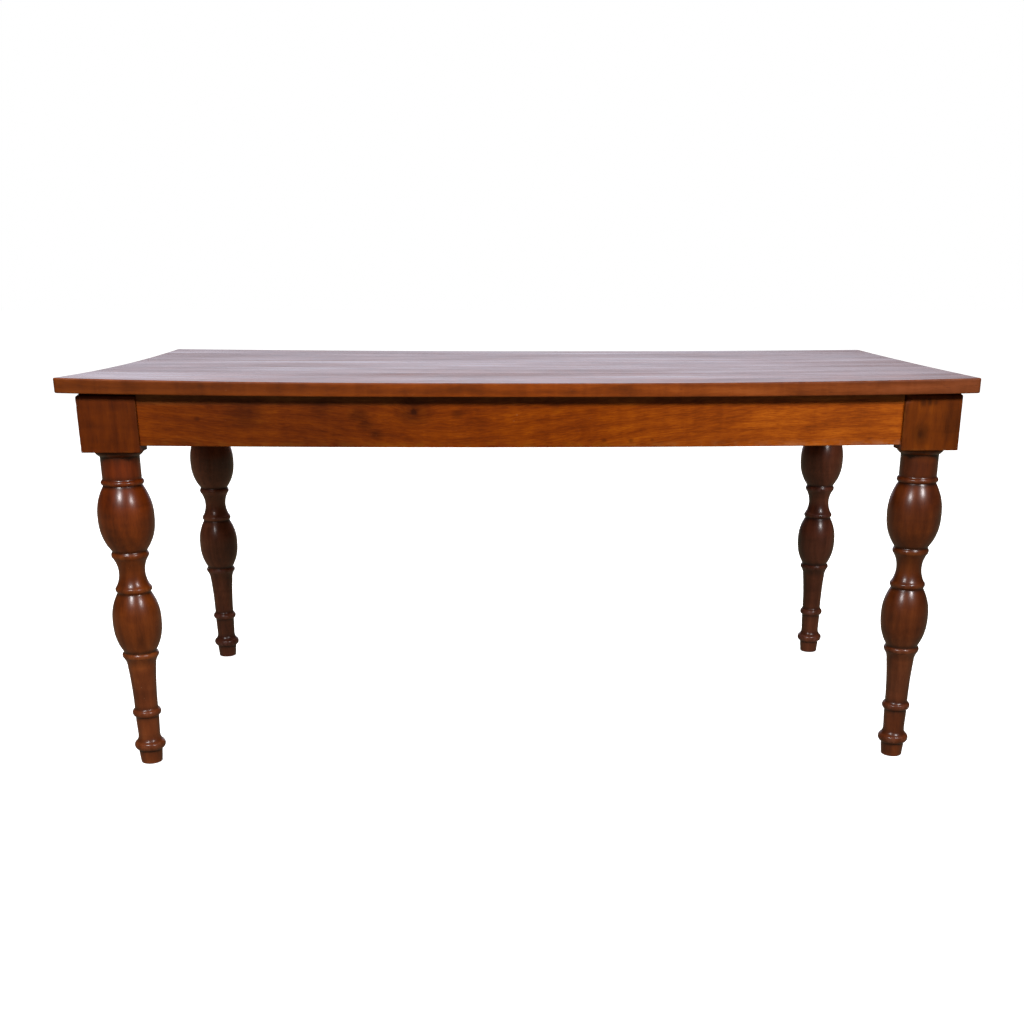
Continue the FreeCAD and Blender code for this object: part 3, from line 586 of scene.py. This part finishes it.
def makeLeg(node, side, end, seed, girth, chip):
    low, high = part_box(node)
    centre = (low + high) / 2
    half, edge, bottom = leg["blockSide"] / 2, leg["blockEdge"], leg["blockBottom"]
    cut = leg["cornerCut"] * leg["blockSide"]
    shoulder = leg["blockTop"] - leg["blockChamfer"]
    turns = [math.radians(90 * quarter + turn) for quarter in range(4) for turn in legDetail["turns"]]
    wide, tall = leg["raggedScale"]
    rows, hollow, worn = [], [], []

    # The turned part: grooves lie below its smoothed outline and ridges above it
    outline = np.array(legOutline())
    even = np.arange(0, bottom, legDetail["profileStep"])
    profile = np.interp(even, outline[:, 1], outline[:, 0])
    sunk = softened(profile, legDetail["softening"]) - profile
    relief = np.interp(outline[:, 1], even, sunk) / leg["grooveDepth"]
    for (radius, height), depth in zip(outline, relief):
        radius *= girth
        rows.append([(radius * math.cos(turn), radius * math.sin(turn), height) for turn in turns])
        hollow += [min(max(depth, 0), 1)] * len(turns)
        worn += [min(max(-depth, 0), 1) * leg["ridgeWear"]] * len(turns)

    # The block: its edges are ragged, and its inner corner is cut flat for the brace
    for height, inset, depth, wear in blockLevels():
        row = []
        for turn in turns:
            reach = squareReach(turn, half - inset, max(edge - inset * 0.5, leg["leastEdge"]))
            x, y = reach * math.cos(turn), reach * math.sin(turn)
            corner = min(abs(x), abs(y)) / (half - inset)
            ragged = max(noise.noise((x * wide + seed, y * wide, height * tall)), 0)
            sharp = max(corner - leg["nickFrom"], 0) / (1 - leg["nickFrom"])
            nick = edge * leg["nickDepth"] * ragged * sharp
            near = 0
            if chip:
                away = math.dist((x, y, height), (chip[0] * half, chip[1] * half, shoulder))
                near = max(0, 1 - away / leg["chipReach"])
                nick += near ** 1.5 * leg["chipDepth"]
            x -= math.copysign(nick, x)
            y -= math.copysign(nick, y)
            inward = (-side * x - end * y) / math.sqrt(2)
            if inward > cut:
                x += side * (inward - cut) / math.sqrt(2)
                y += end * (inward - cut) / math.sqrt(2)
            row.append((x, y, height))
            hollow.append(depth)
            rubbed = (corner - leg["wearFrom"]) / (1 - leg["wearFrom"])
            worn.append(max(wear, rubbed, 0) + near * leg["chipWear"])
        rows.append(row)

    points = np.array(rows).reshape(-1, 3)
    # The tint carries the legs' stain and their painted floor light
    marks = {"grain": points[:, [2, 0, 1]] + seed * np.array(leg["grainShift"]),
             "hollow": hollow, "worn": worn,
             "gloss": np.where(points[:, 2] > bottom - 0.001, leg["blockGloss"], 1.0),
             "tint": blend(legStainAndLightTints[node], points[:, 2])}
    placed = [[(x + centre.x, y + centre.y, z) for x, y, z in row] for row in rows]
    makePiece(node, [placed], marks, legWood)


makeLeg("leg_front_left", -1, -1, 1, 1.005, None)
makeLeg("leg_front_right", 1, -1, 2, 0.993, (-1, -1))
makeLeg("leg_back_right", 1, 1, 3, 1.0, None)
makeLeg("leg_back_left", -1, 1, 4, 1.0, None)
print("legs made")


# Top
top = {
    "halfLength": 0.85,
    "halfWidth": 0.457,
    "overFrame": (0.818, 0.429),  # from the middle to the frame's outer faces
    "corner": 0.007,
    "edge": 0.0025,
    "seam": 0.0005,

    # A bow is its height at mid-length, its rise to the ends and the power that shapes it
    "frontBow": (-0.0040, 0.0095, 2.6),
    "backBow": (-0.0004, 0.0045, 2.0),
    "lowerBow": (-0.0047, 0.0071, 2.6),
    "tilt": 0.0012,
    "endCups": (0.006, 0.0015),
    "ends": (-0.848, 0.842),
    "skews": (0.006, 0.014),
    "overhangReach": 0.012,
    "waveHeight": 0.0002,
    "waveScale": (1.7, 2.0),  # along and across the boards

    # One tint and one gloss for each board, from the front
    "tints": [1.0, 0.94, 1.05, 0.97, 1.02],
    "glosses": [1.1, 0.97, 1.0, 0.93, 0.97],
    "lowerWear": 0.3,
    "sideDull": 0.6,
    "seamDull": 0.85,
    "endDull": (0.55, 0.3, 0.3),  # where it begins, over what length, and how much
    "bareReach": (1, 1.8),  # bare up to the first and lacquered from the second, in edges
    "grainShift": (2.71, 0.377, 0.053),  # from one board's wood to the next
    "grainDepth": -0.75,

    "step": 0.012,
    "lengthSteps": 110,
    "edgeShares": (0, 0.25, 0.55, 1, 1.8),
}
edgeTints = [  # along the front edge
    (-0.85, (0.70, 0.66, 0.40)), (-0.50, (0.76, 0.70, 0.38)), (0.0, (1.10, 0.94, 0.30)),
    (0.50, (1.00, 1.00, 1.00)), (0.85, (0.92, 1.07, 2.15))]


def bow(name, x):
    middle, rise, power = top[name]
    along = x / top["halfLength"]
    return middle + rise * abs(along) ** power - top["tilt"] * (1 + along)


def warp(x, y, z, low, high):
    # The boards sag between their ends and curl at the corners. Over the frame their undersides
    # stay flat.
    across = y / top["halfWidth"]
    back = (across + 1) / 2
    upper = bow("frontBow", x) * (1 - back) + bow("backBow", x) * back
    upper -= top["endCups"][x > 0] * (1 - across * across) * (x / top["halfLength"]) ** 2
    outside = max(abs(x) - top["overFrame"][0], abs(y) - top["overFrame"][1], 0)
    free = min(outside / top["overhangReach"], 1)
    lower = (bow("lowerBow", x) * (1 - back) + bow("backBow", x) * back) * free
    share = (z - low.z) / (high.z - low.z)
    left, right = (end + skew * back for end, skew in zip(top["ends"], top["skews"]))
    middle = (x + high.x) / (2 * high.x)
    return left + (right - left) * middle, y, z + upper * share + lower * (1 - share)


def roundOff(x, y, z, low, high, outerFront, outerBack):
    # Rounds the corners of the top in plan, then its upper and lower edges
    corner, edge = top["corner"], top["edge"]
    dx = max(abs(x) - (high.x - corner), 0)
    front = max(low.y + corner - y, 0) if outerFront else 0
    back = max(y - high.y + corner, 0) if outerBack else 0
    dy = max(front, back)
    reach = max(dx, dy)
    if reach == 0:
        return x, y, z
    shrink = reach / math.hypot(dx, dy)
    nx, ny = dx * shrink, dy * shrink
    s = corner - reach
    t = min(high.z - z, z - low.z)
    inward = drop = 0
    if s < edge and t < edge:
        a, b = edge - s, edge - t
        bend = max(a, b) / math.hypot(a, b)
        inward, drop = a - a * bend, b - b * bend
    nx, ny = nx * (1 - inward / reach), ny * (1 - inward / reach)
    x = math.copysign(abs(x) - dx + nx, x)
    y = y + front - ny if front else y - back + ny if back else y
    z += drop if z < (low.z + high.z) / 2 else -drop
    return x, y, z


def boardRows(low, high, outerFront, outerBack):
    # The square board, before its edges are rounded: one closed ring of points for each row
    corner, edge, seam = top["corner"], top["edge"], top["seam"]
    edgeSteps = [edge * share for share in top["edgeShares"]] + [corner]

    # Across the board: the steps of its front and back sides, and even steps between them
    def sideSteps(outer):
        return edgeSteps if outer else [seam, seam * 4]

    front = [low.y + step for step in sideSteps(outerFront)]
    back = [high.y - step for step in reversed(sideSteps(outerBack))]
    span = back[0] - front[-1]
    count = round(span / top["step"])
    across = front + [front[-1] + span * step / count for step in range(1, count)] + back

    def wall(y, outer):
        if outer:
            steps = edgeSteps[1:5]
            return [(y, high.z - step) for step in steps] + [(y, low.z + step) for step in reversed(steps)]
        return [(y, high.z - seam), (y, low.z + seam)]

    ring = [(y, high.z) for y in across] + wall(high.y, outerBack)
    ring += [(y, low.z) for y in reversed(across)] + list(reversed(wall(low.y, outerFront)))

    # Along the board: the end's edge, the plan corner, and even steps between them
    inner, count = high.x - corner, top["lengthSteps"]
    lengths = [-high.x + step for step in edgeSteps]
    lengths += [-inner + 2 * inner * step / count for step in range(1, count)]
    lengths += [high.x - step for step in reversed(edgeSteps)]
    stations = [(-high.x, shrink) for shrink in reversed(edgeSteps[1:4])]
    stations += [(x, 0) for x in lengths]
    stations += [(high.x, shrink) for shrink in edgeSteps[1:4]]
    return [[(x, min(max(y, low.y + shrink), high.y - shrink),
              min(max(z, low.z + shrink), high.z - shrink)) for y, z in ring] for x, shrink in stations]


def makeBoard(number):
    node = f"top_board_{number}"
    low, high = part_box(node)
    outerFront, outerBack = number == 1, number == 5
    edge, seam = top["edge"], top["seam"]
    dullFrom, dullLength, dullDepth = top["endDull"]
    bareFull, bareNone = top["bareReach"]
    waveAlong, waveAcross = top["waveScale"]
    own = np.full(3, top["tints"][number - 1])
    squareRows = boardRows(low, high, outerFront, outerBack)
    rows, hollow, worn, gloss, tint = [], [], [], [], []
    for squareRow in squareRows:
        row = []
        for squareX, squareY, squareZ in squareRow:
            x, y, z = roundOff(squareX, squareY, squareZ, low, high, outerFront, outerBack)
            upper = (z - low.z) / (high.z - low.z)
            wave = noise.noise((x * waveAlong, y * waveAcross + number * 3, 0)) * top["waveHeight"]
            row.append(warp(x, y, z + wave * upper, low, high))

            # Stain lies in the seams, and the arris is worn
            inFront, inBack = squareY - low.y, high.y - squareY
            below, above = high.z - squareZ, squareZ - low.z  # below the upper face, above the lower
            inSeam = (not outerFront and inFront < seam * 1.5) or (not outerBack and inBack < seam * 1.5)
            hollow.append(0.5 + 0.5 * noise.noise((x * 3, number * 5, 0)) if inSeam else 0.0)
            rim = min(high.x - abs(squareX), inFront if outerFront else 1, inBack if outerBack else 1)
            arris = max(0, 1 - abs(rim - min(below, above)) / edge) if rim < edge * 2 else 0
            worn.append(arris * (1 if upper > 0.5 else top["lowerWear"]))

            # The lacquer is thin on the sides, in the seams and toward the right end, and gone from
            # the upper arris
            side = max(1 - rim / edge, 0) * min(below / edge, 1)
            bare = min(max(bareNone - max(rim, below) / edge, 0) / (bareNone - bareFull), 1)
            dull = min(max(x - dullFrom, 0) / dullLength, 1) * dullDepth
            lost = max(top["sideDull"] * side, bare, dull, top["seamDull"] * inSeam)
            gloss.append(top["glosses"][number - 1] * (1 - lost))
            tint.append(own * (1 - side) + blend(edgeTints, x) * side if outerFront else own)
        rows.append(row)
    shift = number * np.array(top["grainShift"]) + (0, 0, top["grainDepth"])
    marks = {"grain": np.array(squareRows).reshape(-1, 3) + shift, "hollow": hollow,
             "worn": worn, "gloss": gloss, "tint": tint}
    makePiece(node, [rows], marks, topWood)


for number in range(1, 6):
    makeBoard(number)
print("top made")


# Aprons
apron = {
    "bottom": 0.6445,
    "top": 0.738,
    "thickness": 0.025,
    "edge": 0.0016,
    "raggedDepth": 0.5,  # of the edge
    "raggedScale": 40,
    "sag": 0.0066,
    "sagShare": 0.59,  # how much of the sag is gone at the ends
    "sagTilt": 0.0009,
    "grooveLow": 0.7178,
    "grooveHigh": 0.7262,
    "grooveFloor": 0.0158,
    "tenonNear": 0.0065,
    "tenonFar": 0.0185,
    "tenonLow": 0.6565,
    "tenonHigh": 0.726,
    "tenonLength": 0.045,
    "tenonRoot": 0.004,
    "seatFloor": 0.0148,
    "seatLow": 0.7078,
    "seatHalfWidth": 0.0227,
    "seatShares": [-0.31, 0, 0.31],
    "seatMargin": 0.003,
    "seatWall": 0.0001,
    "step": 0.012,
    "faceSteps": 8,
    "otherTint": (0.85, 0.82, 1.0),
    "shadowStripLow": 0.7150,  # the strip under the top, where its shadow falls, is painted greyer: painted shade colour
    "shadowStripTint": (0.90, 1.70, 11.0),
    "grainShift": (3.3, 0.7, 0),
}
apronTints = [  # along the front apron
    (-0.71, (0.74, 0.72, 0.20)), (-0.60, (0.58, 0.54, 0.14)), (-0.35, (0.56, 0.52, 0.12)),
    (-0.15, (0.82, 0.77, 0.02)), (0.15, (0.93, 0.89, 0.03)), (0.45, (1.35, 1.50, 1.45)),
    (0.71, (1.53, 1.80, 2.40))]


def apronLengths(span, seats):
    # The places along an apron that get a row of points, and which of them are in a rail's seat
    wide, wall, margin = apron["seatHalfWidth"], apron["seatWall"], apron["seatMargin"]
    ranges = [(share * span - wide, share * span + wide) for share in seats]
    steps = round(span / apron["step"])
    lengths = [(-span / 2 + span * step / steps, False) for step in range(steps + 1)]
    lengths = [(x, seat) for x, seat in lengths
               if not any(a - margin < x < b + margin for a, b in ranges)]
    for a, b in ranges:
        lengths += [(a - wall, False), (a, True), ((a + b) / 2, True), (b, True), (b + wall, False)]
    return sorted(lengths)


def apronRing(x, half, front, seat, seed):
    # Down the outer face, round the lower edges and up the inner face, past the seat and the groove.
    # A point is Y, Z and how worn it is.
    upper, bottom, thick, lift = apron["top"], apron["bottom"], apron["thickness"], x / half
    if front:
        bottom += -apron["sag"] * (1 - apron["sagShare"] * lift * lift) - apron["sagTilt"] * lift
    along = noise.noise((x * apron["raggedScale"], seed, 0))
    ragged = apron["edge"] * (1 + apron["raggedDepth"] * along)
    inner = apron["seatFloor"] if seat else thick
    floor = min(inner, apron["grooveFloor"])
    fall, steps = upper - bottom - ragged, apron["faceSteps"]
    ring = [(0, upper - fall * step / steps, 0) for step in range(steps)]
    bends = [(1 - math.cos(math.radians(turn)), 1 - math.sin(math.radians(turn)))
             for turn in (0, 22.5, 45, 67.5, 90)]
    ring += [(ragged * inward, bottom + ragged * rise, 1) for inward, rise in bends]
    ring += [(thick - ragged * inward, bottom + ragged * rise, 0.5) for rise, inward in bends]
    ring += [(thick, apron["seatLow"], 0), (inner, apron["seatLow"], 0), (inner, apron["grooveLow"], 0),
             (floor, apron["grooveLow"], 0), (floor, apron["grooveHigh"], 0),
             (inner, apron["grooveHigh"], 0), (inner, upper, 0)]
    return ring


def makeApron(side, place, quarters, span, seats):
    # In the apron's own frame X runs along it, and Y goes from its outer face to its inner face
    half, front = span / 2, side == "front"
    other, shadowStripTint = np.array(apron["otherTint"]), np.array(apron["shadowStripTint"])
    rows, grains, worn, tints = [], [], [], []
    for x, seat in apronLengths(span, seats):
        ring = apronRing(x, half, front, seat, len(side))
        own = blend(apronTints, x) if front else other
        rows.append([(x, y, z) for y, z, _ in ring])
        grains += [(x, z, y) for y, z, _ in ring]
        for _, z, wear in ring:
            # The strip under the top, in the top's shadow, is painted greyer: painted shade
            shadowShare = max(z - apron["shadowStripLow"], 0) / (apron["top"] - apron["shadowStripLow"])
            worn.append(wear)
            tints.append(own * (1 - shadowShare) + shadowStripTint * shadowShare)
    shells = [rows]
    corners = [(apron["tenon" + y], apron["tenon" + z])
               for y, z in (("Near", "High"), ("Near", "Low"), ("Far", "Low"), ("Far", "High"))]
    for end in (-1, 1):
        shell = [[(end * x, y, z) for y, z in corners]
                 for x in (half - apron["tenonRoot"], half + apron["tenonLength"])]
        shells.append(shell)
        grains += [(x, z, y) for row in shell for x, y, z in row]
        worn += [0] * 8
        tints += [other] * 8
    spin = math.radians(90 * quarters)
    shells = [[[(place[0] + x * math.cos(spin) - y * math.sin(spin),
                 place[1] + x * math.sin(spin) + y * math.cos(spin), z) for x, y, z in row]
               for row in shell] for shell in shells]
    marks = {"grain": np.array(grains) + quarters * np.array(apron["grainShift"]), "worn": worn,
             "hollow": [0.0] * len(worn), "gloss": [1.0] * len(worn), "tint": tints}
    makePiece("apron_" + side, shells, marks, apronWood)


makeApron("front", (0, -0.429), 0, 1.42, apron["seatShares"])
makeApron("right", (0.812, 0), 1, 0.654, [])
makeApron("back", (0, 0.429), 2, 1.42, apron["seatShares"])
makeApron("left", (-0.812, 0), 3, 0.654, [])
print("aprons made")


# The frame's own pieces keep their shapes and take a finish
def finish(node, material):
    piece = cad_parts[node]
    for place in range(len(piece.data.materials)):
        piece.material_slots[place].material = material


for side in ("front", "back"):
    finish("buttons_" + side, innerWood["Y"])
for side in ("left", "right"):
    finish("buttons_" + side, innerWood["X"])
for number in range(1, 5):
    finish(f"loose_tongue_{number}", innerWood["X"])
for number in range(1, 4):
    finish(f"cross_rail_{number}", innerWood["Y"])
for corner in ("front_left", "front_right", "back_right", "back_left"):
    finish("corner_brace_" + corner, innerWood["X"])
for node in ("rail_screws", "button_screws", "brace_screws"):
    finish(node, screwSteel)
for node in ("coach_screws", "washers"):
    finish(node, boltSteel)
print("frame finished")


# Studio
studio = {
    "floorSize": 60.0,
    "floorColour": (0.86, 0.86, 0.86),
    "floorCloud": 0.985,
    "floorGlow": (0.86, 0.2),  # under the table, and what is added away from it
    "glowReach": (1.2, 3.0),
    "floorLight": (4.5, 6.0, 260.0),  # height, side and power
    "softboxes": [  # name, place, aim, side, power, colour
        ("softboxLeft", (-1.01, -2.27, 1.87), (-0.3, -0.3, 0.4), 0.46, 42.0, (1.0, 0.97, 0.98)),
        ("softboxRight", (1.43, -2.29, 2.00), (0.3, -0.3, 0.4), 0.46, 46.0, (1.0, 0.97, 0.98)),
        ("softboxBack", (0, 3.2, 4.6), (0, 0, 0.4), 1.6, 60.0, (1.0, 0.98, 0.97)),
    ],
    "room": (0.045, 0.039, 0.036),
    "below": (0.20, 0.178, 0.125),
    "wall": (0.86, 0.82, 0.95),

    # Where the wall and the room fade, in shares of the direction seen
    "wallSides": (0.252, 0.588),
    "wallTop": (0.15, 0.48),
    "wallFoot": (-0.1, 0.0),
    "wallFront": (0.0, 0.2),
    "horizon": (-0.15, 0.1),
    "lens": 44.695,
    "sensor": 36,
    "shift": (-0.0324, 0.1938),
    "eye": (-0.0368, -2.8354, 0.9509),
    "tilt": (90 - 19.092, -0.0803, -1.809),
}


def makeLight(name, shape, size, power, colour, place, aim):
    data = bpy.data.lights.new(name, "AREA")
    data.shape = shape
    data.size = size
    data.energy = power
    data.color = colour
    light = bpy.data.objects.new(name, data)
    light.location = place
    light.rotation_euler = (Vector(aim) - Vector(place)).to_track_quat("-Z", "Y").to_euler()
    light.visible_camera = False
    bpy.context.scene.collection.objects.link(light)
    return light


def makeFloor():
    material, graph = newMaterial("paleFloor")
    place = graph.add("TexCoord")[3]
    pale = studio["floorColour"]
    cloud = graph.noise(place, (1.5, 1.5, 1.5), 3.0)
    colour = graph.mix(cloud, pale, tuple(value * studio["floorCloud"] for value in pale))
    away = graph.add("VectorMath", {"operation": "LENGTH"}, {0: place})[1].within(*studio["glowReach"])
    glow = away * studio["floorGlow"][1] + studio["floorGlow"][0]
    shader = graph.add("BsdfPrincipled", None, {
        "Base Color": colour, "Roughness": 0.9, "Emission Strength": 1.0,
        "Emission Color": graph.join(glow, glow, glow)})[0]
    graph.add("OutputMaterial", None, {0: shader})
    half = studio["floorSize"] / 2
    corners = [(-half, -half, 0), (half, -half, 0), (half, half, 0), (-half, half, 0)]
    mesh = bpy.data.meshes.new("floorMesh")
    mesh.from_pydata(corners, [], [(0, 1, 2, 3)])
    mesh.materials.append(material)
    floor = bpy.data.objects.new("studioFloor", mesh)
    bpy.context.scene.collection.objects.link(floor)
    floor.visible_glossy = False
    floor.visible_diffuse = False
    floor.visible_shadow = False
    return floor


def makeWorld():
    # The camera sees white. The table sees a dim room, with a bright wall low down behind it.
    world = bpy.data.worlds.new("studioWorld")
    world.use_nodes = True
    bpy.context.scene.world = world
    graph = Graph(world.node_tree)
    x, y, z = graph.split(graph.add("TexCoord")[0])
    sideways = x.sum("ABSOLUTE", x) / y.sum("MAXIMUM", y, 0.001)
    behind = 1.0 - sideways.within(*studio["wallSides"])
    height = 1.0 - z.within(*studio["wallTop"])
    wall = behind * height * y.within(*studio["wallFront"]) * z.within(*studio["wallFoot"])
    colour = graph.mix(z.within(*studio["horizon"]), studio["below"], studio["room"])
    colour = graph.mix(wall, colour, studio["wall"])
    seen = graph.add("LightPath")[0]
    table = graph.add("Background", None, {"Color": colour, "Strength": 1.0})[0]
    white = graph.add("Background", None, {"Color": (1, 1, 1), "Strength": 1.0})[0]
    graph.add("OutputWorld", None, {0: graph.add("MixShader", None, {0: seen, 1: table, 2: white})[0]})


floor = makeFloor()
makeWorld()
for name, place, aim, side, power, colour in studio["softboxes"]:
    makeLight(name, "DISK", side, power, colour, place, aim)

# One more light reaches only the floor
height, side, power = studio["floorLight"]
floorLight = makeLight("floorLight", "SQUARE", side, power, (1, 1, 1), (0, 0, height), (0, 0, 0))
onlyFloor = bpy.data.collections.new("onlyFloor")
onlyFloor.objects.link(floor)
floorLight.light_linking.receiver_collection = onlyFloor

camera = bpy.data.cameras.new("camera")
camera.lens = studio["lens"]
camera.sensor_width = studio["sensor"]
camera.shift_x, camera.shift_y = studio["shift"]
eye = bpy.data.objects.new("camera", camera)
eye.location = studio["eye"]
eye.rotation_euler = Euler([math.radians(turn) for turn in studio["tilt"]])
bpy.context.scene.collection.objects.link(eye)
bpy.context.scene.camera = eye
bpy.context.scene.view_settings.view_transform = "Standard"
print("studio made")
